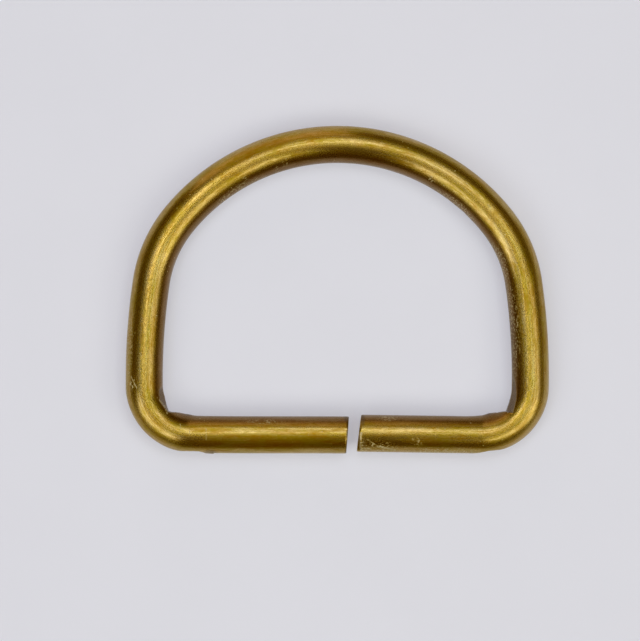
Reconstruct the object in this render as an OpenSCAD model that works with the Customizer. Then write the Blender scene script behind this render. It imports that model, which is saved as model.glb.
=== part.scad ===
// D ring bent from one length of round brass wire. It lies flat, as on a table.
// The straight bar runs along X and the bow is towards +Y. The underside is at z = 0,
// and the origin is under the middle of the ring's box. All sizes are in mm.

/* [Wire] */
// Diameter of the wire
wire_d = 4.06; // [2.5:0.01:5]
// How much the wire's radius draws down where it is bent tightly
draw_down = 0.01; // [0.005:0.005:0.03]

/* [Ring] */
// Inside width, measured along the bar
inner_w = 38; // [32:0.5:50]
// Inside height, from the bar to the top of the bow
inner_h = 27.55; // [24:0.05:34]
// Turn of the bow from its top to each shoulder, in degrees
bow_turn = 51; // [46:1:56]
// Inside radius of the shoulders, between the bow and the sides
shoulder_r = 12; // [8:0.5:14]
// Inside radius of the sides, which bulge a little
side_r = 69; // [50:1:150]
// Outward lean of the sides at their foot, in degrees
side_flare = 0.9; // [0:0.1:3]
// Inside radius of the bends between the sides and the bar
bend_r = 3.25; // [2:0.05:5]

/* [Bar] */
// Width of the gap between the wire's ends, along the middle of the wire
gap_w = 1.25; // [0.4:0.05:3]
// Distance of the gap from the middle of the bar, to the right
gap_x = 1.75; // [-4:0.05:4]
// Slant of the left cut end, in degrees
cut_slant_left = 3.7; // [0:0.1:12]
// Slant of the right cut end, in degrees
cut_slant_right = 6.1; // [0:0.1:12]
// Rise of the bar's left half towards the gap, in degrees
rise_left = -0.4; // [-1.5:0.1:1.5]
// Rise of the bar's right half towards the gap, in degrees
rise_right = 0.7; // [-1.5:0.1:1.5]

/* [Marks of the bending tool] */
// Radius of the tool's nose, which dents the inside of each bend
nose_r = 1.05; // [0.7:0.05:1.6]
// Depth of the dent inside the left bend
nose_bite_left = 0.52; // [0.1:0.01:0.8]
// Depth of the dent inside the right bend
nose_bite_right = 0.4; // [0.1:0.01:0.8]
// Radius of the tool's pressing block, which flattens the outside of each bend
block_r = 10; // [6:0.5:20]
// Depth of the flat outside the left bend
block_bite_left = 0.2; // [0.05:0.01:0.4]
// Depth of the flat outside the right bend
block_bite_right = 0.23; // [0.05:0.01:0.4]
// Turn from the bar up to the flat outside the left bend, in degrees
block_turn_left = 3; // [0:1:30]
// Turn from the bar up to the flat outside the right bend, in degrees
block_turn_right = 10; // [0:1:30]

/* [Hidden] */
$fn = 96;

wire_r = wire_d / 2;
drawn_r = wire_r - draw_down;

// A drawn stretch of wire runs this far on inside its full neighbours, where it doesn't show
lap = 0.1;

// Radii of the wire's centreline
shoulder_c = shoulder_r + wire_r;
side_c = side_r + wire_r;
bend_c = bend_r + wire_r;

// Half width and height of the centreline, from the middle of the bar
half_w = inner_w / 2 + wire_r;
bow_top = inner_h + wire_d;

// The cutters stand past the wire on both faces and past its cut ends
spare = wire_d;

// The places below are those of the right half. The left half is its mirror image.
// Each arc's centre follows from the arc before it, so that every two arcs share a tangent.
function along(turn) = [cos(turn), sin(turn)];
function lap_turn(radius) = lap / radius * 180 / PI;

// Centre of the side's arc: the side is upright where it is widest, a little above its foot
side_at = [half_w - side_c, bend_c + (side_c - bend_c) * sin(side_flare)];

// Centre of the bend's arc, which touches the side's arc and the bar's line from inside
bend_at = side_at + (side_c - bend_c) * along(-side_flare);

// The shoulder's centre moves by bow_step for each mm of the bow's radius, from from_side
// beside the side's centre. It has to end as far from that centre as makes the arcs touch,
// which is a quadratic equation for the bow's radius.
shoulder_turn = 90 - bow_turn;
bow_step = along(shoulder_turn) - [0, 1];
from_side = [0, bow_top] - shoulder_c * along(shoulder_turn) - side_at;
touch = side_c - shoulder_c;
qa = bow_step * bow_step;
qb = from_side * bow_step;
qc = from_side * from_side - touch * touch;
bow_c = (sqrt(qb * qb - qa * qc) - qb) / qa;

// Centres of the bow and the shoulder, and the turn where the side runs into the shoulder
bow_at = [0, bow_top - bow_c];
shoulder_at = bow_at + (bow_c - shoulder_c) * along(shoulder_turn);
side_turn = atan2(shoulder_at[1] - side_at[1], shoulder_at[0] - side_at[0]);

// Where the bend runs into the bar, and the middle of the bar's cut end at cut_x
function bar_start(rise) = bend_at + bend_c * along(-90 - rise);
function bar_end(rise, cut_x) =
    [cut_x, bar_start(rise)[1] + (bar_start(rise)[0] - cut_x) * tan(rise)];

cut_x_left = gap_w / 2 - gap_x;
cut_x_right = gap_w / 2 + gap_x;

// The bar's lowest end sets the ring's lower edge
bar_low = min(0, bar_end(rise_left, cut_x_left)[1], bar_end(rise_right, cut_x_right)[1]);
mid_y = (bow_top + bar_low) / 2;

// A stretch of wire bent round a centre, from one angle to another
module wire_arc(centre, radius, from, to, r) {
    translate(centre)
        rotate(from)
            rotate_extrude(angle = to - from)
                translate([radius, 0])
                    circle(r);
}

// A stretch that is bent tightly: it is drawn down, and laps into its neighbours
module drawn_arc(centre, radius, from, to) {
    extra = lap_turn(radius);
    wire_arc(centre, radius, from - extra, to + extra, drawn_r);
}

// One side of the ring, with the shoulder above it and the bend below it
module side(rise) {
    drawn_arc(shoulder_at, shoulder_c, side_turn, shoulder_turn);
    wire_arc(side_at, side_c, -side_flare, side_turn, wire_r);
    drawn_arc(bend_at, bend_c, -90 - rise, -side_flare);
}

// One straight half of the bar, with its slanted cut end
module bar_half(rise, cut_x, slant) {
    start = bar_start(rise);
    difference() {
        translate(start)
            rotate([0, -90, -rise])
                cylinder(r = wire_r, h = (start[0] - cut_x) / cos(rise) + spare);
        translate(bar_end(rise, cut_x))
            rotate(slant)
                translate([-3 * spare, -1.5 * spare, -1.5 * spare])
                    cube(3 * spare);
    }
}

// An upright round tool that stands in the ring's plane
module upright_tool(at, r) {
    translate([at[0], at[1], -wire_r - spare])
        cylinder(r = r, h = wire_d + 2 * spare);
}

// What the tool's nose and its pressing block take from one bend
module bend_marks(nose_bite, block_bite, block_turn) {
    nose_out = bend_r + nose_bite - nose_r;
    upright_tool(bend_at + nose_out * along(-45), nose_r);
    block_out = bend_c + wire_r - block_bite + block_r;
    upright_tool(bend_at + block_out * along(block_turn - 90), block_r);
}

module ring_wire() {
    color("darkgoldenrod")
        translate([0, -mid_y, wire_r])
            difference() {
                union() {
                    wire_arc(bow_at, bow_c, shoulder_turn, 180 - shoulder_turn, wire_r);
                    side(rise_right);
                    bar_half(rise_right, cut_x_right, -cut_slant_right);
                    mirror([1, 0, 0]) {
                        side(rise_left);
                        bar_half(rise_left, cut_x_left, cut_slant_left);
                    }
                }
                bend_marks(nose_bite_right, block_bite_right, block_turn_right);
                mirror([1, 0, 0])
                    bend_marks(nose_bite_left, block_bite_left, block_turn_left);
            }
}

ring_wire();
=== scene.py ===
import math
from typing import NamedTuple

import bmesh
import bpy
import numpy as np
from bpy.props import FloatProperty, FloatVectorProperty, IntProperty, PointerProperty
from mathutils import Matrix, Vector


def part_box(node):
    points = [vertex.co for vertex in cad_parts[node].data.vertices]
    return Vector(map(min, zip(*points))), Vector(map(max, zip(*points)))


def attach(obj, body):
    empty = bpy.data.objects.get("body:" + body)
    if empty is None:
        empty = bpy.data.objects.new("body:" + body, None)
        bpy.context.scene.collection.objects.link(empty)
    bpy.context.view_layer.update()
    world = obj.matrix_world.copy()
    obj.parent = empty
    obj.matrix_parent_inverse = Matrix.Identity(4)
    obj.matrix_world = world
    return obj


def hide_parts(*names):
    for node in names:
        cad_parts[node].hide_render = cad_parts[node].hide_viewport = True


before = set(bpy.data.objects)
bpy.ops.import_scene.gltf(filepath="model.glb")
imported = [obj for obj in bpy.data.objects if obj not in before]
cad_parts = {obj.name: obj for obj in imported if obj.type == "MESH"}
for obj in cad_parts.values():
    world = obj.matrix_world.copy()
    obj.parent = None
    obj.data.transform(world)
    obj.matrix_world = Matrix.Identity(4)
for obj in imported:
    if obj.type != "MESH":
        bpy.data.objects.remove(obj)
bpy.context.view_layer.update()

bl_info = {
    "name": "Brass D Ring",
    "version": (1, 0, 0),
    "blender": (4, 5, 0),
    "location": "3D View > Sidebar > D Ring",
    "description": "A D ring bent from drawn brass wire, with the marks of its bending tool",
    "category": "Object",
}

# Lengths are in metres, and MM turns millimetres into them. The ring lies in the XY plane:
# the bar runs along X, the bow is towards +Y, and the underside is at z = 0.
MM = 0.001
NODE = "ring_wire"

# The imported ring's own box gives the wire's diameter and the ring's inside width
BOX_LOW, BOX_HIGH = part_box(NODE)
WIRE_D = BOX_HIGH.z - BOX_LOW.z
INNER_W = BOX_HIGH.x - BOX_LOW.x - 2 * WIRE_D

# The wire is this much thinner than the part's own, so that it stays inside the part's box
SLACK = 0.007 * MM

# Names of what the wire's mesh carries: the distance along the wire, the place in the wire as it was
# before it was bent, where the tool pressed or raised the metal (places that get painted shade; the
# pressed mark also holds the left end's shaded rim and a few spots of real grime), the cut faces, the
# dusty and the dull places, and a map for the direction of the grain
ALONG = "along"
PLACE = "unbent_place"
PRESSED = "pressed"
RAISED = "raised"
CUT = "cut_face"
DUSTY = "dusty"
DULL = "dull"
GRAIN_MAP = "grain_map"


# Sizes and colours that a user would change

def length(name, about, default, low=0.0, high=1.0):
    return FloatProperty(name=name, description=about, default=default, min=low, max=high,
                         unit="LENGTH", precision=5)


def angle(name, about, degrees):
    return FloatProperty(name=name, description=about, default=math.radians(degrees), subtype="ANGLE")


def share(name, about, default):
    return FloatProperty(name=name, description=about, default=default, min=0.0, max=1.0,
                         subtype="FACTOR")


def colour(name, about, rgb):
    return FloatVectorProperty(name=name, description=about, default=rgb, size=3, min=0.0, max=4.0,
                               subtype="COLOR")


class WireSizes(bpy.types.PropertyGroup):
    wire_d: length("Wire diameter", "Diameter of the wire", WIRE_D)
    inner_w: length("Inside width", "Inside width, measured along the bar", INNER_W)
    inner_h: length("Inside height", "Inside height, from the bar to the top of the bow", 27.55 * MM)
    bow_turn: angle("Bow turn", "Turn of the bow from its top to each shoulder", 51)
    shoulder_r: length("Shoulder radius", "Inside radius of the shoulders", 12 * MM)
    side_r: length("Side radius", "Inside radius of the sides, which bulge a little", 69 * MM)
    side_flare: angle("Side flare", "Outward lean of the sides at their foot", 0.9)
    bend_r: length("Bend radius", "Inside radius of the bends beside the bar", 3.25 * MM)
    gap_w: length("Gap", "Width of the gap between the wire's ends", 1.25 * MM)
    gap_x: length("Gap place", "Distance of the gap from the middle of the bar", 1.75 * MM)
    cut_slant_left: angle("Left cut", "Slant of the left cut end", 3.7)
    cut_slant_right: angle("Right cut", "Slant of the right cut end", 6.1)
    rise_left: angle("Left rise", "Rise of the bar's left half towards the gap", -0.4)
    rise_right: angle("Right rise", "Rise of the bar's right half towards the gap", 0.7)
    rings: IntProperty(name="Rings", description="Rings of points along the wire", default=1010, min=200)
    sides: IntProperty(name="Sides", description="Points round the wire", default=96, min=24)
    face_rings: IntProperty(name="Face rings", description="Rings of points on each cut face",
                            default=9, min=3)


class ToolMarks(bpy.types.PropertyGroup):
    dent_left: length("Left dent", "Depth of the dent inside the left bend", 0.6 * MM)
    dent_right: length("Right dent", "Depth of the dent inside the right bend", 0.57 * MM)
    lip_left: length("Left lip", "Height of the lip beside the left dent", 0.14 * MM)
    lip_right: length("Right lip", "Height of the lip beside the right dent", 0.25 * MM)
    flat_left: length("Left flat", "Depth of the flat outside the left bend", 0.23 * MM)
    flat_right: length("Right flat", "Depth of the flat outside the right bend", 0.28 * MM)
    flap: length("Flap", "Height of the flap pushed up beside the left flat", 0.085 * MM)
    thinning: length("Thinning", "How much the outside of the bends is drawn thinner", 0.06 * MM)
    lean: angle("Facet lean", "Lean of the facets that the tool pressed beside its dents", 21)
    shoulder_dent: length("Shoulder dent", "Depth of the small dent inside the right shoulder", 0.05 * MM)
    roll_left: length("Left roll", "How far the shear dragged the left rim over", 0.045 * MM)
    roll_right: length("Right roll", "How far the shear dragged the right rim over", 0.05 * MM)
    lift: length("Left lift", "How far the shear pushed the left end inwards", 0.08 * MM)
    rub: length("Rub", "Depth of the flat that wear has rubbed along the bar's left half", 0.03 * MM)
    rub_lean: angle("Rub lean", "Lean of that flat towards the inside of the ring", 16)
    burr: length("Burr", "How far the right cut face leans back at its outer edge", 0.42 * MM)


class BrassFinish(bpy.types.PropertyGroup):
    metal: colour("Metal", "Colour of the dulled brass", (0.50, 0.365, 0.165))
    brown: colour("Tarnish", "Colour of the brown tarnish", (0.30, 0.162, 0.008))
    olive: colour("Olive film", "Colour of the greenish film on the old metal", (0.30, 0.20, 0.010))
    bright: colour("Cut metal", "Colour of the sheared metal", (0.42, 0.31, 0.13))
    # The grime colour is painted shade in the tool's dents, on the lips and flap and on the left end's rim,
    # and real grime in the grimy spots
    grime_and_shade: colour("Grime", "Colour of the grime in the tool's marks", (0.085, 0.062, 0.062))
    # The inside colour is painted shade for the shadow inside the ring; the small pits use it too
    inside: colour("Inside", "Colour of the dark inside of the ring", (0.13, 0.064, 0.064))
    film_gloss: share("Film gloss", "Gloss of the thin clear film over the metal", 0.35)
    # The residue colour also paints the highlight along the left dent's ridge
    residue: colour("Residue", "Colour of dried polish and dust in the marks", (0.62, 0.55, 0.38))
    roughness: share("Roughness", "Roughness of the drawn surface", 0.25)
    uneven: share("Uneven gloss", "How much more the grain spreads light round the wire than along it", 0.85)


class StudioSettings(bpy.types.PropertyGroup):
    distance: length("Camera distance", "Height of the camera over the wire's middle", 0.42)
    light_distance: length("Light distance", "Distance of the soft lights from the ring", 0.6)
    floor_half: length("Floor", "Half the width of the floor", 3.0, 0.0, 10.0)
    floor_glow: colour("Floor glow", "Light that comes through the floor from below", (0.338, 0.345, 0.412))
    floor: colour("Floor colour", "Colour of the pale floor", (0.451, 0.447, 0.488))
    room: colour("Room", "Dim warm light from the rest of the room", (0.095, 0.062, 0.035))
    wall: colour("Wall", "The pale wall that low views show behind the floor", (0.70, 0.70, 0.74))


# The wire's centreline: a row of straight and round stretches that share their tangents

def along(turn):
    return np.array([math.cos(turn), math.sin(turn)])


class Straight:
    """A straight stretch from one point to another. Its outside faces the angle facing."""

    def __init__(self, start, end, facing):
        self.start = start
        self.end = end
        self.facing = facing
        self.length = float(np.linalg.norm(end - start))

    def at(self, run):
        share_run = (run / self.length)[:, None]
        centre = self.start + share_run * (self.end - self.start)
        return centre, np.full(len(run), self.facing)

    def knots(self):
        third = (self.end - self.start) / 3
        return [(self.start, third, self.end, third)]


class Round:
    """A round stretch about a centre. It runs clockwise, so its angle falls from one value to another."""

    def __init__(self, centre, radius, start, end):
        self.centre = centre
        self.radius = radius
        self.turns = (start, end)
        self.length = radius * (start - end)

    def at(self, run):
        facing = self.turns[0] - run / self.radius
        out = np.stack([np.cos(facing), np.sin(facing)], 1)
        return self.centre + self.radius * out, facing

    def knots(self):
        largest = math.radians(30)
        start, end = self.turns
        count = math.ceil((start - end) / largest)
        step = (start - end) / count
        reach = 4 / 3 * math.tan(step / 4) * self.radius
        rows = []
        for number in range(count):
            first = start - number * step
            rows.append(tuple(value for turn in (first, first - step) for value in (
                self.centre + self.radius * along(turn),
                reach * np.array([math.sin(turn), -math.cos(turn)]))))
        return rows


# The numbers of some stretches, in their order from the left cut to the right cut
LEFT_BEND = 1
RIGHT_SHOULDER = 5
RIGHT_BEND = 7


class Centreline:
    """The middle of the wire, from the left cut round the bow to the right cut."""

    def __init__(self, sizes):
        self.wire_r = wire_r = sizes.wire_d / 2
        shoulder_c = sizes.shoulder_r + wire_r
        side_c = sizes.side_r + wire_r
        self.bend_c = bend_c = sizes.bend_r + wire_r
        half_w = sizes.inner_w / 2 + wire_r
        bow_top = sizes.inner_h + sizes.wire_d
        flare = sizes.side_flare

        # Each arc's centre follows from the arc before it, as in the part's own source
        side_at = np.array([half_w - side_c, bend_c + (side_c - bend_c) * math.sin(flare)])
        bend_at = side_at + (side_c - bend_c) * along(-flare)
        shoulder_turn = math.pi / 2 - sizes.bow_turn
        bow_step = along(shoulder_turn) - np.array([0, 1])
        from_side = np.array([0, bow_top]) - shoulder_c * along(shoulder_turn) - side_at
        touch = side_c - shoulder_c
        square = bow_step @ bow_step
        middle = from_side @ bow_step
        rest = from_side @ from_side - touch ** 2
        bow_c = (math.sqrt(middle ** 2 - square * rest) - middle) / square
        bow_at = np.array([0, bow_top - bow_c])
        shoulder_at = bow_at + (bow_c - shoulder_c) * along(shoulder_turn)
        reach = shoulder_at - side_at
        side_turn = math.atan2(reach[1], reach[0])

        # The two halves of the bar rise towards the gap by their own small angles
        rises = (sizes.rise_left, sizes.rise_right)
        cuts = (sizes.gap_w / 2 - sizes.gap_x, sizes.gap_w / 2 + sizes.gap_x)
        foot_left, foot_right = feet = [-math.pi / 2 - rise for rise in rises]
        starts = [bend_at + bend_c * along(foot) for foot in feet]
        ends = [np.array([cut_x, start[1] + (start[0] - cut_x) * math.tan(rise)])
                for start, cut_x, rise in zip(starts, cuts, rises)]
        low = min(0, ends[0][1], ends[1][1])
        down = np.array([0, -(bow_top + low) / 2])
        flip = np.array([-1, 1])

        def turned(turn):
            return math.pi - turn

        self.stretches = [
            Straight(ends[0] * flip + down, starts[0] * flip + down, turned(foot_left)),
            Round(bend_at * flip + down, bend_c, turned(foot_left), turned(-flare)),
            Round(side_at * flip + down, side_c, turned(-flare), turned(side_turn)),
            Round(shoulder_at * flip + down, shoulder_c, turned(side_turn), turned(shoulder_turn)),
            Round(bow_at + down, bow_c, turned(shoulder_turn), shoulder_turn),
            Round(shoulder_at + down, shoulder_c, shoulder_turn, side_turn),
            Round(side_at + down, side_c, side_turn, -flare),
            Round(bend_at + down, bend_c, -flare, foot_right),
            Straight(starts[1] + down, ends[1] + down, foot_right),
        ]
        self.length = sum(stretch.length for stretch in self.stretches)
        # Where each stretch starts, and the wire's end, as distances along the wire
        self.starts = np.cumsum([0] + [stretch.length for stretch in self.stretches])

    def at(self, run):
        """The centre and the outward angle at each distance along the wire."""
        centre = np.zeros((len(run), 2))
        facing = np.zeros(len(run))
        last = len(self.stretches) - 1
        for number, stretch in enumerate(self.stretches):
            low = -np.inf if number == 0 else self.starts[number]
            high = np.inf if number == last else self.starts[number + 1]
            here = (run >= low) & (run < high)
            centre[here], facing[here] = stretch.at(run[here] - self.starts[number])
        return centre, facing

    def curve(self, name):
        """The centreline as one Bezier curve object."""
        rows = [row for stretch in self.stretches for row in stretch.knots()]
        data = bpy.data.curves.new(name, "CURVE")
        data.dimensions = "3D"
        data.resolution_u = 64
        spline = data.splines.new("BEZIER")
        spline.bezier_points.add(len(rows))
        height = self.wire_r
        arrive = [rows[0][:2]] + [row[2:] for row in rows]
        leave = [row[:2] for row in rows] + [rows[-1][2:]]
        for point, (end, back), (start, ahead) in zip(spline.bezier_points, arrive, leave):
            point.handle_left_type = point.handle_right_type = "FREE"
            point.co = (*start, height)
            point.handle_left = (*(end - back), height)
            point.handle_right = (*(start + ahead), height)
        return new_object(name, data)


def new_object(name, data):
    thing = bpy.data.objects.new(name, data)
    bpy.context.scene.collection.objects.link(thing)
    return thing


# The sweep of the wire's round section along its centreline, as a tree of geometry nodes

def sweep_tree():
    tree, bench, given, result = new_group(
        "Wire Sweep",
        {"Centreline": "Geometry", "Wire Radius": "Float", "Rings": "Int", "Sides": "Int",
         "Finish": "Material"},
        {"Wire": "Geometry"}, "GeometryNodeTree")
    rings = bench.add("GeometryNodeResampleCurve", {
        "Curve": given["Centreline"], "Count": given["Rings"]}, mode="COUNT")
    distance = bench.add("GeometryNodeSplineParameter")
    store = bench.add("GeometryNodeStoreNamedAttribute", {
        "Geometry": rings.outputs["Curve"], "Name": ALONG, "Value": distance.outputs["Length"]},
        data_type="FLOAT", domain="POINT")
    section = bench.add("GeometryNodeCurvePrimitiveCircle", {
        "Resolution": given["Sides"], "Radius": given["Wire Radius"]})
    sweep = bench.add("GeometryNodeCurveToMesh", {
        "Curve": store.outputs["Geometry"], "Profile Curve": section.outputs["Curve"]})
    smooth = bench.add("GeometryNodeSetShadeSmooth", {"Geometry": sweep.outputs["Mesh"]})
    realize = bench.add("GeometryNodeRealizeInstances", {"Geometry": smooth.outputs["Geometry"]})
    finish = bench.add("GeometryNodeSetMaterial", {
        "Geometry": realize.outputs["Geometry"], "Material": given["Finish"]})
    bench.fill(result, {"Wire": finish.outputs["Geometry"]})
    return tree


def swept_wire(line, sizes, finish):
    """The plain swept wire as a mesh object, with the distance along the wire on each point."""
    path = line.curve("wire_path")
    tree = sweep_tree()
    modifier = path.modifiers.new("Wire Sweep", "NODES")
    modifier.node_group = tree
    values = {"Wire Radius": line.wire_r, "Rings": sizes.rings, "Sides": sizes.sides, "Finish": finish}
    for item in tree.interface.items_tree:
        if item.in_out == "INPUT" and item.name in values:
            modifier[item.identifier] = values[item.name]
    graph = bpy.context.evaluated_depsgraph_get()
    mesh = bpy.data.meshes.new_from_object(path.evaluated_get(graph), depsgraph=graph)
    path.modifiers.remove(modifier)
    bpy.data.objects.remove(path)
    mesh.name = "wire"
    return new_object("wire", mesh)


# Small helpers for shaping by numbers

def ease(value, low, high):
    """0 below low, 1 above high, and a smooth step between them."""
    step = np.clip((value - low) / (high - low), 0, 1)
    return step * step * (3 - 2 * step)


def hump(value, middle, half_width):
    """1 at the middle, falling smoothly to 0 at half_width on both sides."""
    return 1 - ease(np.abs(value - middle), 0, half_width)


class Skin:
    """All points of the wire, each by its distance along the wire, its turn round the wire (0 outside,
    a quarter turn on top, a half turn inside) and its distance from the wire's middle."""

    def __init__(self, wire, line, sizes):
        self.mesh = wire.data
        self.line = line
        count = len(self.mesh.vertices)
        spots = np.zeros(count * 3, np.float32)
        self.mesh.vertices.foreach_get("co", spots)
        spots = spots.reshape(-1, 3).astype(float)
        run = np.zeros(count, np.float32)
        self.mesh.attributes[ALONG].data.foreach_get("value", run)
        ring = np.rint(run / run.max() * (sizes.rings - 1))
        centre, facing = line.at(run.astype(float))
        out = np.stack([np.cos(facing), np.sin(facing)], 1)
        side = ((spots[:, :2] - centre) * out).sum(1)
        self.turn = np.arctan2(spots[:, 2] - line.wire_r, side)
        self.spread_rings(ring, sizes)
        self.radius = (line.wire_r - SLACK) * self.face
        self.shift = np.zeros((count, 3))
        self.paint = {name: np.zeros(count) for name in (PRESSED, RAISED, CUT, DUSTY, DULL)}

    def spread_rings(self, ring, sizes):
        """Gives the first and last rings to the cut faces, and packs the others closer at the bends, where
        the tool's marks are, and towards the cuts."""
        last = sizes.rings - 1
        rim = sizes.face_rings
        line = self.line
        self.face = np.clip(np.minimum(ring, last - ring) / rim, 0, 1)
        samples = 8001
        cut_closeness = 7
        cut_reach = 1.4 * MM
        bend_closeness = 2.2
        margin = 3.5 * MM
        fade = 1.5 * MM
        run = np.linspace(0, line.length, samples)
        closeness = 1 + cut_closeness * (1 - ease(np.minimum(run, line.length - run), 0, cut_reach))
        for number in (LEFT_BEND, RIGHT_BEND):
            start, end = line.starts[number:number + 2]
            middle = (start + end) / 2
            half = (end - start) / 2 + margin
            closeness += bend_closeness * (1 - ease(np.abs(run - middle), half - fade, half))
        filled = np.concatenate([[0], np.cumsum((closeness[1:] + closeness[:-1]) / 2)])
        pace = np.clip((ring - rim) / (last - 2 * rim), 0, 1)
        self.run = np.interp(pace, filled / filled[-1], run)
        self.at_left = ring < sizes.rings / 2

    def q(self):
        """Distance outwards from the wire's middle, in the ring's plane."""
        return self.radius * np.cos(self.turn)

    def z(self):
        """Height over the floor."""
        return self.line.wire_r - SLACK + self.radius * np.sin(self.turn)

    def spots(self):
        centre, facing = self.line.at(self.run)
        out = np.stack([np.cos(facing), np.sin(facing)], 1)
        flat = centre + self.q()[:, None] * out
        return np.column_stack([flat, self.z()]) + self.shift

    def push(self, out, up=0.0):
        """Moves the points outwards in the ring's plane, and up."""
        centre, facing = self.line.at(self.run)
        up = up + np.zeros(len(out))
        self.shift += np.column_stack([out * np.cos(facing), out * np.sin(facing), up])

    def cover(self, name, amount):
        self.paint[name] = np.maximum(self.paint[name], amount)

    def write(self):
        self.mesh.vertices.foreach_set("co", self.spots().astype(np.float32).ravel())
        place = np.column_stack([self.q(), self.z() - self.line.wire_r, self.run])
        attribute = self.mesh.attributes.new(PLACE, "FLOAT_VECTOR", "POINT")
        attribute.data.foreach_set("vector", place.astype(np.float32).ravel())
        for name, values in self.paint.items():
            attribute = self.mesh.attributes.new(name, "FLOAT", "POINT")
            attribute.data.foreach_set("value", values.astype(np.float32))
        self.mesh.update()


# The marks that the maker's tool left at each bend, as points of a turn in degrees and a share of the
# mark's depth. The turn is 0 at the foot of the side and 90 at the start of the bar.
LEFT_MARKS = dict(
    dent=((20, 0), (32, 0.33), (38, 0.60), (43, 0.80), (46.5, 1), (51, 0.74), (58, 0.25), (64, 0)),
    lip=((62, 0), (72, 0.7), (80, 1), (86, 0.9), (95, 0.1), (104, 0)),
    facet=((-6, 0), (8, 0.9), (22, 1), (32, 0.75), (40, 0.25), (45, 0)),
    flat=((65, 0), (78, 0.35), (85, 0.85), (92, 1), (98, 0.9), (103, 0.4), (106, 0)),
    flap=((101, 0), (112, 0.8), (115, 1), (115.8, 0)),
    thinning=((8, 0), (30, 0.8), (45, 1), (62, 1), (80, 0)),
)
RIGHT_MARKS = dict(
    dent=((-4, 0), (14, 0.1), (26.5, 0.29), (37, 0.62), (44.5, 1), (49, 0.6), (55, 0.25), (62, 0)),
    lip=((58, 0), (66, 0.6), (74, 1), (82, 0.8), (90, 0.45), (98, 0.15), (107, 0)),
    facet=((-22, 0), (-6, 0.85), (20, 1), (40, 1), (45.5, 0)),
    flat=((58, 0), (70, 0.3), (77, 0.82), (83, 1), (87, 0.75), (92, 0.3), (99, 0)),
    flap=((100, 0), (101, 0)),
    thinning=((8, 0), (30, 0.8), (45, 1), (60, 1), (75, 0)),
)


# A place that the tool pressed this deep takes the full painted shade of the dents
MARKED_DEPTH = 0.08 * MM


def cut_ends(skin, sizes, marks):
    """Slants both cut faces, drags their rims over, and leans the right one back where it tore."""
    line = skin.line
    fade = 4 * MM
    from_cut = np.where(skin.at_left, skin.run, line.length - skin.run)
    slant = np.where(skin.at_left, math.tan(sizes.cut_slant_left), math.tan(sizes.cut_slant_right))
    skin.run = skin.run + skin.q() * slant * (1 - ease(from_cut, 0, fade))

    # The shear pushed the left end a little towards the inside of the ring
    lift_reach = 14 * MM
    lift = np.where(skin.at_left, marks.lift * (1 - ease(skin.run, 0, lift_reach)), 0)
    skin.shift[:, 1] += lift

    # The blade drags the rim over where it comes down
    roll_w = np.where(skin.at_left, 0.25 * MM, 0.3 * MM)
    roll_d = np.where(skin.at_left, marks.roll_left, marks.roll_right)
    roll_curve = 2.2
    near = np.clip(1 - from_cut / roll_w, 0, 1)
    skin.radius = skin.radius - np.where(skin.face >= 1, roll_d * near ** roll_curve, roll_d * skin.face)

    # The right wire tore at the end of the cut: its outer upper edge leans back
    torn_h = 0.85 * MM
    torn_reach = 1.3 * MM
    torn_from = -0.1
    torn_w = 1.05
    outer = np.clip((skin.q() / line.wire_r - torn_from) / torn_w, 0, 1)
    upper = ease(skin.z() - line.wire_r, 0, torn_h)
    torn = marks.burr * outer * upper * (1 - ease(from_cut, 0, torn_reach))
    skin.run = skin.run - np.where(skin.at_left, 0, torn)
    skin.cover(CUT, np.where(skin.face < 1, 1.0, 0.0))

    # Painted shade on the left end's rolled rim, which darkens it
    rim_shade = 1.3
    edge_w, edge_end = 0.08 * MM, 0.2 * MM
    edge = rim_shade * (1 - ease(from_cut, edge_w, edge_end))
    skin.cover(PRESSED, np.where(skin.at_left, edge, 0))


def press_bend(skin, at_right, marks, profile, dent, lip, flat):
    """The tool's edge dents the inside of a bend and lifts a lip beside the dent. Its press flattens the
    outside and pushes up a flap beyond the flat."""
    line = skin.line
    number = RIGHT_BEND if at_right else LEFT_BEND
    middle = (line.starts[number] + line.starts[number + 1]) / 2
    forward = 1 if at_right else -1
    half_turn = line.stretches[number].length / line.bend_c / 2
    foot = math.radians(90) - half_turn
    turn = np.degrees(foot + forward * (skin.run - middle) / line.bend_c)
    first_turn, last_turn = -60, 160
    near = (turn > first_turn) & (turn < last_turn)

    height = skin.z() - line.wire_r
    q = skin.q()
    part = {name: np.interp(turn, *zip(*points)) for name, points in profile.items()}
    lean = math.tan(marks.lean) * part["facet"]
    depth = dent * part["dent"]
    wall = -(line.wire_r - depth) + lean * np.maximum(height, 0)
    pressed_in = np.where(near & (q < wall), wall - q, 0)
    lip_h = 1.5 * MM
    raised = lip * part["lip"] * hump(height, 0, lip_h) * (q < 0)

    outer_wall = line.wire_r - flat * part["flat"]
    pressed_out = np.where(near & (q > outer_wall), q - outer_wall, 0)
    thinner = marks.thinning * part["thinning"] * np.clip(q / line.wire_r, 0, 1) ** 2
    flap_h = 0.75 * MM
    flap = marks.flap * part["flap"] * hump(height, 0, flap_h) * (q > 0)

    inward = pressed_in - pressed_out + np.where(near, flap - thinner - raised, 0)
    skin.push(inward)
    # The dents, the outer flat a little, and the raised lip and flap are marked for painted shade
    outside_share = 0.15
    skin.cover(PRESSED, ease(pressed_in + outside_share * pressed_out, 0, MARKED_DEPTH))
    skin.cover(RAISED, np.where(near, np.maximum(flap / marks.flap, raised / lip), 0))


def dent_shoulder(skin, marks):
    """A small knock inside the right shoulder."""
    line = skin.line
    reach = 0.8 * MM
    before_shoulder = 3.4 * MM
    place = line.starts[RIGHT_SHOULDER] - before_shoulder
    near = hump(skin.run, place, reach) * (skin.q() < 0)
    wall = -(line.wire_r - marks.shoulder_dent * near)
    push = np.where(skin.q() < wall, wall - skin.q(), 0)
    skin.push(push)
    # The knock is marked for painted shade in its hollow
    skin.cover(PRESSED, ease(push, 0, MARKED_DEPTH))


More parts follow.
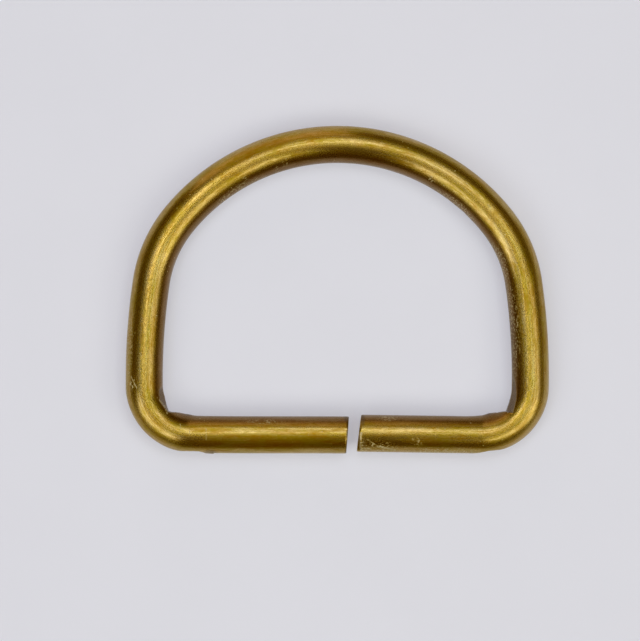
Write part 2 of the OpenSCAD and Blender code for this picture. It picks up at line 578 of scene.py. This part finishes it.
def rub_bar(skin, marks):
    """A long narrow flat that wear has rubbed along the left half of the bar."""
    line = skin.line
    across = math.sin(marks.rub_lean)
    up = math.cos(marks.rub_lean)
    fade = 1.0 * MM
    end = line.starts[LEFT_BEND]
    reach = 1 - ease(skin.run, end - fade, end + fade)
    height = (skin.z() - line.wire_r) * up - skin.q() * across
    over = np.where(skin.at_left, height - (line.wire_r - SLACK - marks.rub * reach), 0)
    push = np.maximum(over, 0)
    skin.push(push * across, -push * up)


class Spot(NamedTuple):
    """A soft oval place on the wire: its middle in the ring's plane and how far it reaches along the wire
    and round it, in mm, and how strong it is."""
    x: float
    y: float
    along: float
    across: float
    strength: float = 1.0


# Dust and dried polish, as whitish specks in these places
DUSTY_SPOTS = (
    Spot(4.4, -17.1, 2.6, 0.9),
    Spot(2.4, -16.9, 0.8, 1.2),
    Spot(8.6, -16.5, 1.0, 0.7, 0.7),
    Spot(5.4, -13.9, 1.4, 0.5, 0.6),
    Spot(-22.2, -10.3, 0.9, 0.6),
    Spot(-5.7, 13.7, 0.5, 0.4, 0.8),
    Spot(-6.6, 13.1, 0.4, 0.4, 0.8),
    Spot(-10.0, 12.1, 0.4, 0.4, 0.8),
    Spot(10.2, 12.0, 0.6, 0.4, 0.8),
    Spot(19.2, -4.0, 8.0, 0.8, 0.8),
    Spot(12.8, 9.4, 5.0, 0.6, 0.8),
    Spot(17.9, 3.0, 4.0, 0.6, 0.8),
    Spot(-10.8, 11.0, 4.5, 0.5, 0.7),
    Spot(11.5, -17.5, 5.0, 0.5, 0.8),
    Spot(-8.0, -14.3, 3.0, 0.35, 0.6),
    Spot(-22.6, -6.0, 5.0, 0.5, 0.7),
)

# Where the metal is rubbed dull
DULL_SPOTS = (
    Spot(-7.5, -16.4, 9.5, 1.3),
    Spot(10.5, -16.3, 5.0, 0.8, 0.5),
    Spot(-9.3, 15.1, 5.5, 0.65, 0.25),
)

# Where grime has dried on
GRIMY_SPOTS = (
    Spot(2.75, -14.1, 0.35, 1.1),
    Spot(0.95, -13.95, 0.3, 0.5),
    Spot(2.95, -16.6, 0.35, 0.9, 0.8),
    Spot(-13.8, -17.75, 1.0, 0.5),
    Spot(19.15, -6.5, 8.0, 0.6, 0.65),
)


def paint_spots(skin, spots):
    """How strongly each point of the upper half lies in one of the spots."""
    full = 0.3
    places = skin.spots()
    centre, facing = skin.line.at(skin.run)
    paint = np.zeros(len(places))
    for spot in spots:
        off = places[:, :2] - np.array([spot.x, spot.y]) * MM
        out = off[:, 0] * np.cos(facing) + off[:, 1] * np.sin(facing)
        run = off[:, 1] * np.cos(facing) - off[:, 0] * np.sin(facing)
        apart = np.hypot(run / (spot.along * MM), out / (spot.across * MM))
        paint = np.maximum(paint, spot.strength * (1 - ease(apart, full, 1)))
    return paint * (places[:, 2] > skin.line.wire_r)


def make_marks(skin, sizes, marks):
    cut_ends(skin, sizes, marks)
    press_bend(skin, False, marks, LEFT_MARKS, marks.dent_left, marks.lip_left, marks.flat_left)
    press_bend(skin, True, marks, RIGHT_MARKS, marks.dent_right, marks.lip_right, marks.flat_right)
    dent_shoulder(skin, marks)
    rub_bar(skin, marks)
    for name, spots in ((DUSTY, DUSTY_SPOTS), (DULL, DULL_SPOTS), (PRESSED, GRIMY_SPOTS)):
        skin.cover(name, paint_spots(skin, spots))


def map_grain(wire, skin):
    """A UV map whose first direction runs round the wire and whose second runs along it."""
    mesh = wire.data
    corners = np.zeros(len(mesh.loops), np.int64)
    mesh.loops.foreach_get("vertex_index", corners)
    # The seam is on the underside
    round_turn = ((skin.turn + math.pi / 2) % (2 * math.pi)) / (2 * math.pi)
    turns = round_turn[corners].reshape(-1, 4)
    wraps = (turns.max(1) - turns.min(1)) > 0.5
    turns = np.where(wraps[:, None] & (turns < 0.5), turns + 1, turns)
    runs = skin.run[corners]
    chart = mesh.uv_layers.new(name=GRAIN_MAP)
    girth = 2 * math.pi * skin.line.wire_r
    chart.data.foreach_set(
        "uv", np.column_stack([turns.ravel(), runs / girth]).astype(np.float32).ravel())


def close_faces(wire):
    """Joins the innermost ring of each cut face into one point."""
    shape = bmesh.new()
    shape.from_mesh(wire.data)
    same_place = 0.0005 * MM
    bmesh.ops.remove_doubles(shape, verts=shape.verts, dist=same_place)
    bmesh.ops.recalc_face_normals(shape, faces=shape.faces)
    shape.to_mesh(wire.data)
    shape.free()
    wire.data.polygons.foreach_set("use_smooth", [True] * len(wire.data.polygons))


# Materials

class NodeBench:
    """Short calls for building one tree of nodes."""

    def __init__(self, tree):
        self.tree = tree

    def add(self, kind, values=None, **settings):
        node = self.tree.nodes.new(kind)
        for name, value in settings.items():
            setattr(node, name, value)
        self.fill(node, values or {})
        return node

    def fill(self, node, values):
        """Links or sets the inputs of a node."""
        for socket, value in values.items():
            if isinstance(value, bpy.types.NodeSocket):
                self.tree.links.new(value, node.inputs[socket])
            else:
                node.inputs[socket].default_value = value

    def math(self, operation, first, second):
        return self.add("ShaderNodeMath", {0: first, 1: second}, operation=operation).outputs[0]

    def times(self, first, second):
        return self.math("MULTIPLY", first, second)

    def most(self, first, second):
        return self.math("MAXIMUM", first, second)

    def vector(self, operation, first, second, output="Vector"):
        node = self.add("ShaderNodeVectorMath", {0: first, 1: second}, operation=operation)
        return node.outputs[output]

    def divide(self, place, wide, deep, long):
        """A place measured in a unit of its own in each direction."""
        unit = self.add("ShaderNodeCombineXYZ", {"X": wide, "Y": deep, "Z": long})
        return self.vector("DIVIDE", place, unit.outputs[0])

    def total(self, *parts):
        """The sum of some values, each times its own weight."""
        total = None
        for value, weight in parts:
            part = self.times(value, weight)
            total = part if total is None else self.math("ADD", total, part)
        return total

    def step(self, value, low, high, bottom=0.0, top=1.0):
        """A smooth step from one value to another."""
        ends = {"From Min": low, "From Max": high, "To Min": bottom, "To Max": top}
        node = self.add("ShaderNodeMapRange", {"Value": value, **ends}, interpolation_type="SMOOTHSTEP")
        return node.outputs["Result"]

    def blend(self, factor, first, second):
        """One colour or the other. The numbers are the Mix node's sockets for a factor and for colours."""
        node = self.add("ShaderNodeMix", {0: factor, 6: first, 7: second}, data_type="RGBA")
        return node.outputs[2]

    def carried(self, name):
        return self.add("ShaderNodeAttribute", attribute_name=name)

    def group(self, tree, values):
        return self.add("ShaderNodeGroup", values, node_tree=tree).outputs[0]


def new_material(name):
    material = bpy.data.materials.new(name)
    material.use_nodes = True
    material.node_tree.nodes.clear()
    bench = NodeBench(material.node_tree)
    shader = bench.add("ShaderNodeBsdfPrincipled")
    bench.add("ShaderNodeOutputMaterial", {"Surface": shader.outputs["BSDF"]})
    return material, bench, shader


def new_group(name, inputs, outputs, kind="ShaderNodeTree"):
    """An empty group of nodes with named inputs and outputs."""
    tree = bpy.data.node_groups.new(name, kind)
    for way, sockets in (("INPUT", inputs), ("OUTPUT", outputs)):
        for label, value in sockets.items():
            tree.interface.new_socket(name=label, in_out=way, socket_type=f"NodeSocket{value}")
    bench = NodeBench(tree)
    return tree, bench, bench.add("NodeGroupInput").outputs, bench.add("NodeGroupOutput")


def grain_group():
    """Noise whose grains have a size across and a size along."""
    tree, bench, given, result = new_group(
        "Grain", {"Place": "Vector", "Across": "Float", "Along": "Float", "Detail": "Float"},
        {"Height": "Float"})
    place, across, run, detail = (given[name] for name in ("Place", "Across", "Along", "Detail"))
    noise = bench.add("ShaderNodeTexNoise", {
        "Vector": bench.divide(place, across, across, run), "Scale": 1.0, "Detail": detail,
        "Roughness": 0.55})
    bench.fill(result, {"Height": noise.outputs["Fac"]})
    return tree


def speck_group():
    """Round specks of one size, scattered so that a given share of their cells holds one."""
    core, edge = 0.15, 0.32
    tree, bench, given, result = new_group(
        "Specks", {"Place": "Vector", "Size": "Float", "Share": "Float"}, {"Mask": "Float"})
    size = given["Size"]
    cells = bench.add("ShaderNodeTexVoronoi", {
        "Vector": bench.divide(given["Place"], size, size, size), "Scale": 0.5})
    dot = bench.step(cells.outputs["Distance"], core, edge, 1.0, 0.0)
    pick = bench.add("ShaderNodeSeparateColor", {"Color": cells.outputs["Color"]})
    chosen = bench.math("LESS_THAN", pick.outputs[0], given["Share"])
    bench.fill(result, {"Mask": bench.times(dot, chosen)})
    return tree


def pale_line_group():
    """One straight pale line from a start to an end, as seen from above, broken up along its length: mostly
    a scratch, and in two places a painted highlight along the left dent's ridge.
    """
    strength = 0.8
    breaks_a_metre = 4000.0
    broken, whole = 0.35, 0.55
    low, high = 1.9 * MM, 2.1 * MM
    tree, bench, given, result = new_group(
        "PaleLine", {"Place": "Vector", "Start": "Vector", "End": "Vector", "Width": "Float"},
        {"Mask": "Float"})
    place, start, end = (given[name] for name in ("Place", "Start", "End"))
    flat = bench.vector("MULTIPLY", place, (1, 1, 0))
    reach = bench.vector("SUBTRACT", end, start)
    away = bench.vector("SUBTRACT", flat, start)
    part = bench.math("DIVIDE", bench.vector("DOT_PRODUCT", away, reach, "Value"),
                      bench.vector("DOT_PRODUCT", reach, reach, "Value"))
    part = bench.add("ShaderNodeClamp", {"Value": part}).outputs[0]
    run = bench.add("ShaderNodeVectorMath", {0: reach, "Scale": part}, operation="SCALE").outputs[0]
    apart = bench.vector("DISTANCE", away, run, "Value")
    line = bench.step(apart, 0.0, given["Width"], strength, 0.0)
    breaks = bench.add("ShaderNodeTexNoise", {"Vector": flat, "Scale": breaks_a_metre, "Detail": 1.0})
    line = bench.times(line, bench.step(breaks.outputs["Fac"], broken, whole))
    upper = bench.add("ShaderNodeSeparateXYZ", {0: place}).outputs["Z"]
    line = bench.times(line, bench.step(upper, low, high))
    bench.fill(result, {"Mask": line})
    return tree


class PaleLine(NamedTuple):
    """A pale line from one place to another in the ring's plane, and its width, in mm. Most are scratches;
    two paint a highlight along the left dent's ridge.
    """
    start: tuple
    end: tuple
    width: float = 0.10


# The pale scratches on the upper side, and a painted highlight along the bright edge of the left dent
SCRATCHES_AND_HIGHLIGHT = (
    # These two lines are a painted highlight along the ridge at the edge of the left dent
    PaleLine((-19.53, -11.75), (-18.80, -12.62), 0.12),
    PaleLine((-18.80, -12.62), (-18.45, -13.45), 0.12),
    PaleLine((-22.38, -9.45), (-22.05, -10.15)),
    PaleLine((-22.15, -9.95), (-21.75, -10.70)),
    PaleLine((-14.22, -15.05), (-14.20, -16.30), 0.07),
    PaleLine((-17.05, -14.55), (-16.95, -15.05), 0.07),
    PaleLine((-16.1, -14.9), (-16.0, -15.6), 0.06),
    PaleLine((16.2, 9.4), (16.6, 8.9), 0.06),
    PaleLine((2.62, -15.5), (2.40, -17.35), 0.20),
    PaleLine((3.25, -16.2), (4.40, -16.95), 0.10),
    PaleLine((4.40, -16.95), (6.30, -17.35), 0.14),
)


class Grain(NamedTuple):
    """Noise in the brass: its size across and along the wire in mm, how much finer detail it has, the
    values between which it shows, and its share in the film of tarnish and in the relief."""
    across: float
    along: float
    detail: float = 2.0
    shows: tuple = (0.4, 0.6)
    film: float = 0.0
    relief: float = 0.0


GRAINS = {
    "mottle": Grain(0.20, 0.7, shows=(0.25, 0.6), film=0.30, relief=0.06),
    "fine": Grain(0.13, 0.24, 1.0, film=0.12, relief=0.02),
    "patches": Grain(1.6, 4.5, film=0.30),
    "streaks": Grain(0.15, 7.0, 1.0, film=0.28, relief=0.4),
    "tint": Grain(0.7, 2.4),
    "torn": Grain(0.5, 0.5),
    "crust": Grain(0.17, 0.26, shows=(0.52, 0.62)),
}

# The size of specks in mm, and the share of places that hold one
SPECKS = {"pinholes": (0.09, 0.06), "pits": (0.13, 0.02), "stray": (0.11, 0.01)}

# How far each effect hides the metal's own colour, and how much rougher it makes the metal
HIDES = {"inside": 0.65, "pits": 0.5, "grime_and_shade": 0.8, "dust_and_highlight": 0.75}
ROUGHER = {"cut": 0.15, "dull": 0.05, "dust_and_highlight": 0.3}

# The film's cover at its thin and thick places, for its colour and for its gloss, how much glossier or
# rougher than the rest these are, and what the dull places add to the cover
FILM_SHOWS = (0.30, 0.70)
GLOSS_SHOWS = (0.36, 0.64)
GLOSS_RANGE = (-0.03, 0.06)
DULL_FILM = 0.12

# Where the painted shade on the inside of the ring starts and is full, from the wire's middle
INNER_SHADE_SHOWS = (-0.95 * MM, -1.5 * MM)

# Grime and painted shade in the tool's dents, the least of it on any grain, and how far the dust, with its
# painted highlight, and the grime and shade dull the metal
PRESSED_GRIME_AND_SHADE = 0.75
LEAST_GRIME_AND_SHADE = 0.55
NOT_METAL = 0.7

# The relief, and the clear film: how far it is worn off in the dents and inside the ring
DUST_AND_HIGHLIGHT_RELIEF = 0.3
RELIEF_HEIGHT = 0.006 * MM
WORN_PRESSED = 0.9
WORN_INSIDE = 0.2
FILM_ROUGHNESS = 0.32
FILM_IOR = 1.5


def brass_wire(finish, grain, specks, pale_line):
    material, bench, shader = new_material("drawn_brass")
    place = bench.carried(PLACE).outputs["Vector"]
    across = bench.add("ShaderNodeSeparateXYZ", {0: place}).outputs["X"]
    pressed, raised, cut, dusty, dull = (
        bench.carried(name).outputs["Fac"] for name in (PRESSED, RAISED, CUT, DUSTY, DULL))
    grains = {
        name: bench.group(grain, {"Place": place, "Across": kind.across * MM, "Along": kind.along * MM,
                                  "Detail": kind.detail})
        for name, kind in GRAINS.items()}
    dots = {
        name: bench.group(specks, {"Place": place, "Size": size * MM, "Share": part})
        for name, (size, part) in SPECKS.items()}

    def showing(name, *ends):
        return bench.step(grains[name], *GRAINS[name].shows, *ends)

    def cover_with(base, name, mask, paint):
        return bench.blend(bench.times(mask, HIDES[name]), base, (*paint, 1))

    # The film of tarnish lies in small islands, with pinholes that show the bare metal
    parts = [(grains[name], kind.film) for name, kind in GRAINS.items() if kind.film]
    cover = bench.total(*parts, (dull, DULL_FILM))
    film = bench.step(cover, *FILM_SHOWS)
    film = bench.times(film, bench.math("SUBTRACT", 1.0, dots["pinholes"]))
    shade = bench.blend(showing("tint"), (*finish.olive, 1), (*finish.brown, 1))
    base = bench.blend(film, (*finish.metal, 1), shade)

    # The inside of the ring is painted darker, as painted shade for the shadow that falls inside the ring;
    # the small pits are dark specks in the same colour
    inside = bench.step(across, *INNER_SHADE_SHOWS)
    base = cover_with(base, "inside", inside, finish.inside)
    base = cover_with(base, "pits", dots["pits"], finish.inside)

    # Painted shade darkens the tool's dents, the outer flats a little, and the lips and flap that they
    # raised; the grimy spots in the same mask are real grime
    grime_and_shade = bench.most(bench.times(pressed, PRESSED_GRIME_AND_SHADE), bench.math("POWER", raised, 2.0))
    grime_and_shade = bench.times(grime_and_shade, showing("mottle", LEAST_GRIME_AND_SHADE, 1.0))
    base = cover_with(base, "grime_and_shade", grime_and_shade, finish.grime_and_shade)

    # The cut faces are rough and uneven
    sheared = bench.blend(showing("torn"), (*finish.bright, 1), (*finish.brown, 1))
    base = bench.blend(cut, base, sheared)

    # Specks of dried polish and dust: a few anywhere, many in the dusty places, and the scratches, with the
    # painted highlight on the left dent's edge
    dust_and_highlight = bench.most(dots["stray"], bench.times(showing("crust"), dusty))
    above = bench.add("ShaderNodeTexCoord").outputs["Object"]
    for mark in SCRATCHES_AND_HIGHLIGHT:
        start, end = (tuple(part * MM for part in point) + (0.0,) for point in (mark.start, mark.end))
        line = {"Place": above, "Start": start, "End": end, "Width": mark.width * MM}
        dust_and_highlight = bench.most(dust_and_highlight, bench.group(pale_line, line))
    base = cover_with(base, "dust_and_highlight", dust_and_highlight, finish.residue)

    gloss = bench.step(cover, *GLOSS_SHOWS, *(finish.roughness + more for more in GLOSS_RANGE))
    rougher = {"cut": cut, "dull": dull, "dust_and_highlight": dust_and_highlight}
    gloss = bench.total((gloss, 1.0), *((rougher[name], part) for name, part in ROUGHER.items()))

    parts = [(grains[name], kind.relief) for name, kind in GRAINS.items() if kind.relief]
    height = bench.total(*parts, (dust_and_highlight, DUST_AND_HIGHLIGHT_RELIEF))
    bump = bench.add("ShaderNodeBump", {"Height": height, "Distance": RELIEF_HEIGHT, "Strength": 1.0})

    hidden = bench.most(bench.times(dust_and_highlight, NOT_METAL), bench.times(grime_and_shade, NOT_METAL))
    worn = bench.most(bench.times(pressed, WORN_PRESSED), bench.times(inside, WORN_INSIDE))
    clear = bench.times(bench.math("SUBTRACT", 1.0, worn), finish.film_gloss)
    direction = bench.add("ShaderNodeTangent", direction_type="UV_MAP", uv_map=GRAIN_MAP)
    bench.fill(shader, {
        "Base Color": base, "Roughness": gloss, "Normal": bump.outputs["Normal"],
        "Metallic": bench.math("SUBTRACT", 1.0, hidden), "Coat Weight": clear,
        "Coat Roughness": FILM_ROUGHNESS, "Coat IOR": FILM_IOR, "Anisotropic": finish.uneven,
        "Tangent": direction.outputs["Tangent"]})
    return material


def pale_floor(studio, grain):
    """A pale board lit a little from below, so that shadows on it stay soft and pale."""
    cloud = 14 * MM
    tooth = 0.25 * MM
    tooth_h = 0.004 * MM
    darkest = 0.985
    thin, thick = 0.35, 0.65
    material, bench, shader = new_material("pale_board")
    place = bench.add("ShaderNodeTexCoord").outputs["Object"]
    clouds, teeth = (
        bench.group(grain, {"Place": place, "Across": size, "Along": size, "Detail": detail})
        for size, detail in ((cloud, 3.0), (tooth, 1.0)))
    darker = [part * darkest for part in studio.floor]
    base = bench.blend(bench.step(clouds, thin, thick), (*studio.floor, 1), (*darker, 1))
    bump = bench.add("ShaderNodeBump", {"Height": teeth, "Distance": tooth_h})
    bench.fill(shader, {
        "Base Color": base, "Normal": bump.outputs["Normal"], "Roughness": 0.7,
        "Specular IOR Level": 0.2, "Emission Strength": 1.0, "Emission Color": (*studio.floor_glow, 1)})
    return material


# The operators: one for the wire and one for the stage

class DRING_OT_bend_wire(bpy.types.Operator):
    """Bends the brass wire to its D and presses the tool's marks into it"""
    bl_idname = "dring.bend_wire"
    bl_label = "Bend the wire"

    def execute(self, context):
        scene = context.scene
        sizes = scene.dring_sizes
        line = Centreline(sizes)
        brass = brass_wire(scene.dring_finish, grain_group(), speck_group(), pale_line_group())
        wire = swept_wire(line, sizes, brass)
        if not wire.data.vertices:
            raise RuntimeError("the sweep gave no wire")
        skin = Skin(wire, line, sizes)
        make_marks(skin, sizes, scene.dring_marks)
        skin.write()
        map_grain(wire, skin)
        close_faces(wire)
        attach(wire, "root")
        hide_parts(NODE)
        return {"FINISHED"}


# The photograph's frame, 640 by 641 pixels, and where the middle of the ring's box is in it
PHOTO_W = 640
PHOTO_H = 641
PHOTO_MIDDLE = (337.46, 290.07)
PHOTO_TURN = math.radians(-0.109)
PHOTO_PIXEL = 0.10892 * MM


def add_camera(studio, wire_r):
    data = bpy.data.cameras.new("camera")
    data.sensor_fit = "HORIZONTAL"
    data.lens = data.sensor_width * studio.distance / (PHOTO_W * PHOTO_PIXEL)
    data.clip_start = 0.01
    camera = new_object("camera", data)
    # The picture's middle, in the ring's own frame
    off = Vector((PHOTO_W / 2 - PHOTO_MIDDLE[0], PHOTO_MIDDLE[1] - PHOTO_H / 2)) * PHOTO_PIXEL
    off.rotate(Matrix.Rotation(-PHOTO_TURN, 2))
    camera.location = (off.x, off.y, wire_r + studio.distance)
    camera.rotation_euler = (0, 0, -PHOTO_TURN)
    bpy.context.scene.camera = camera


class SoftBox(NamedTuple):
    """A soft rectangular light: where it stands as seen from the ring, its half width and half height as
    shares of its distance, how it is turned, and its brightness in red, green and blue."""
    name: str
    tilt: float
    azimuth: float
    half_w: float
    half_h: float
    turn: float
    glow: tuple


SOFT_BOXES = (
    SoftBox("front_left", 41, -139, 0.26, 0.33, 57, (2.3, 2.4, 2.3)),
    SoftBox("front_right", 42, -44, 0.44, 0.18, -4, (2.25, 2.25, 1.75)),
    SoftBox("right", 44, -9, 0.23, 0.16, -77, (1.85, 1.8, 1.6)),
    SoftBox("back", 22, 71, 0.29, 0.18, -19, (2.35, 2.5, 2.6)),
    SoftBox("back_left", 13, 115, 0.16, 0.10, 25, (1.2, 1.2, 0.8)),
    SoftBox("low_right", 14, -13, 0.06, 0.12, 29, (0.4, 0.9, 1.3)),
    SoftBox("high_left", 16, 141, 0.18, 0.06, -79, (4.2, 4.2, 3.6)),
    SoftBox("far_back", 76, 109, 0.40, 0.43, 13, (0.78, 0.62, 0.48)),
    SoftBox("over_left", 24, 180, 0.06, 0.30, 0, (1.1, 1.4, 2.2)),
    SoftBox("above_left", 8, 180, 0.04, 0.10, 0, (3.6, 3.4, 1.6)),
    SoftBox("above", 1, 0, 0.06, 0.10, 0, (0.8, 0.75, 0.4)),
    SoftBox("above_right", 8, 0, 0.04, 0.10, 0, (2.7, 2.75, 1.4)),
    SoftBox("over_right", 24, 0, 0.06, 0.30, 0, (3.0, 3.2, 2.6)),
)


def hang_light(box, distance):
    """Hangs one soft box so that it looks at the ring."""
    tilt, azimuth, turn = (math.radians(value) for value in (box.tilt, box.azimuth, box.turn))
    away = Vector((math.sin(tilt) * math.cos(azimuth), math.sin(tilt) * math.sin(azimuth), math.cos(tilt)))
    across = Vector((math.cos(turn), math.sin(turn), 0))
    across = (across - across.dot(away) * away).normalized()
    up = away.cross(across)
    name = f"light_{box.name}"
    data = bpy.data.lights.new(name, "AREA")
    data.shape = "RECTANGLE"
    data.size = 2 * box.half_w * distance
    data.size_y = 2 * box.half_h * distance
    glow = max(box.glow)
    data.color = [part / glow for part in box.glow]
    data.energy = glow * math.pi * data.size * data.size_y
    facing = Matrix((across, up, away)).transposed().to_4x4()
    light = new_object(name, data)
    light.matrix_world = Matrix.Translation(away * distance) @ facing
    light.visible_camera = False


# How far the camera darkens dark tones, by the number of each curve, and the tones at which each curve
# has a point
GREEN, BLUE, ALL_THREE = 1, 2, 3
TOES = {GREEN: 0.006, BLUE: 0.03, ALL_THREE: 0.025}
TONES = (0.008, 0.02, 0.05, 0.12, 0.3)


def set_response(view):
    """The camera's response: straight, but for its darkest tones, which it takes darker still."""
    view.view_transform = "Standard"
    view.use_curve_mapping = True
    for number, toe in TOES.items():
        curve = view.curve_mapping.curves[number]
        for value in TONES:
            curve.points.new(value, value ** 2 / (value + toe))
        if number == ALL_THREE:
            curve.points[-1].location = (1, 1 / (1 + toe))
    view.curve_mapping.update()


class DRING_OT_set_stage(bpy.types.Operator):
    """Lays the pale floor and sets up the soft lights and the camera"""
    bl_idname = "dring.set_stage"
    bl_label = "Set the stage"

    def execute(self, context):
        scene = context.scene
        studio = scene.dring_studio
        half = studio.floor_half
        mesh = bpy.data.meshes.new("floor")
        mesh.from_pydata([(-half, -half, 0), (half, -half, 0), (half, half, 0), (-half, half, 0)], [],
                         [(0, 1, 2, 3)])
        grain = bpy.data.node_groups.get("Grain") or grain_group()
        mesh.materials.append(pale_floor(studio, grain))
        floor = new_object("floor", mesh)

        for box in SOFT_BOXES:
            hang_light(box, studio.light_distance)

        # The camera sees a pale wall, and all else sees the dim room
        world = bpy.data.worlds.new("room")
        world.use_nodes = True
        world.node_tree.nodes.clear()
        bench = NodeBench(world.node_tree)
        room = bench.add("ShaderNodeBackground", {"Color": (*studio.room, 1)})
        wall = bench.add("ShaderNodeBackground", {"Color": (*studio.wall, 1)})
        path = bench.add("ShaderNodeLightPath")
        mix = bench.add("ShaderNodeMixShader", {
            0: path.outputs["Is Camera Ray"], 1: room.outputs[0], 2: wall.outputs[0]})
        bench.add("ShaderNodeOutputWorld", {"Surface": mix.outputs[0]})
        scene.world = world
        set_response(scene.view_settings)
        add_camera(studio, scene.dring_sizes.wire_d / 2)
        return {"FINISHED"}


class DRING_PT_maker(bpy.types.Panel):
    bl_idname = "DRING_PT_maker"
    bl_label = "D Ring"
    bl_space_type = "VIEW_3D"
    bl_region_type = "UI"
    bl_category = "D Ring"

    def draw(self, context):
        for group in GROUPS:
            box = self.layout.box()
            settings = getattr(context.scene, group)
            for name in settings.bl_rna.properties.keys():
                if name not in ("rna_type", "name"):
                    box.prop(settings, name)
        for maker in (DRING_OT_bend_wire, DRING_OT_set_stage):
            self.layout.operator(maker.bl_idname)


GROUPS = {"dring_sizes": WireSizes, "dring_marks": ToolMarks, "dring_finish": BrassFinish,
          "dring_studio": StudioSettings}
CLASSES = (*GROUPS.values(), DRING_OT_bend_wire, DRING_OT_set_stage, DRING_PT_maker)


def register():
    for entry in CLASSES:
        bpy.utils.register_class(entry)
    for name, group in GROUPS.items():
        setattr(bpy.types.Scene, name, PointerProperty(type=group))


def unregister():
    for name in GROUPS:
        delattr(bpy.types.Scene, name)
    for entry in reversed(CLASSES):
        bpy.utils.unregister_class(entry)


def main():
    register()
    bpy.ops.dring.bend_wire()
    bpy.ops.dring.set_stage()


if __name__ == "__main__":
    main()
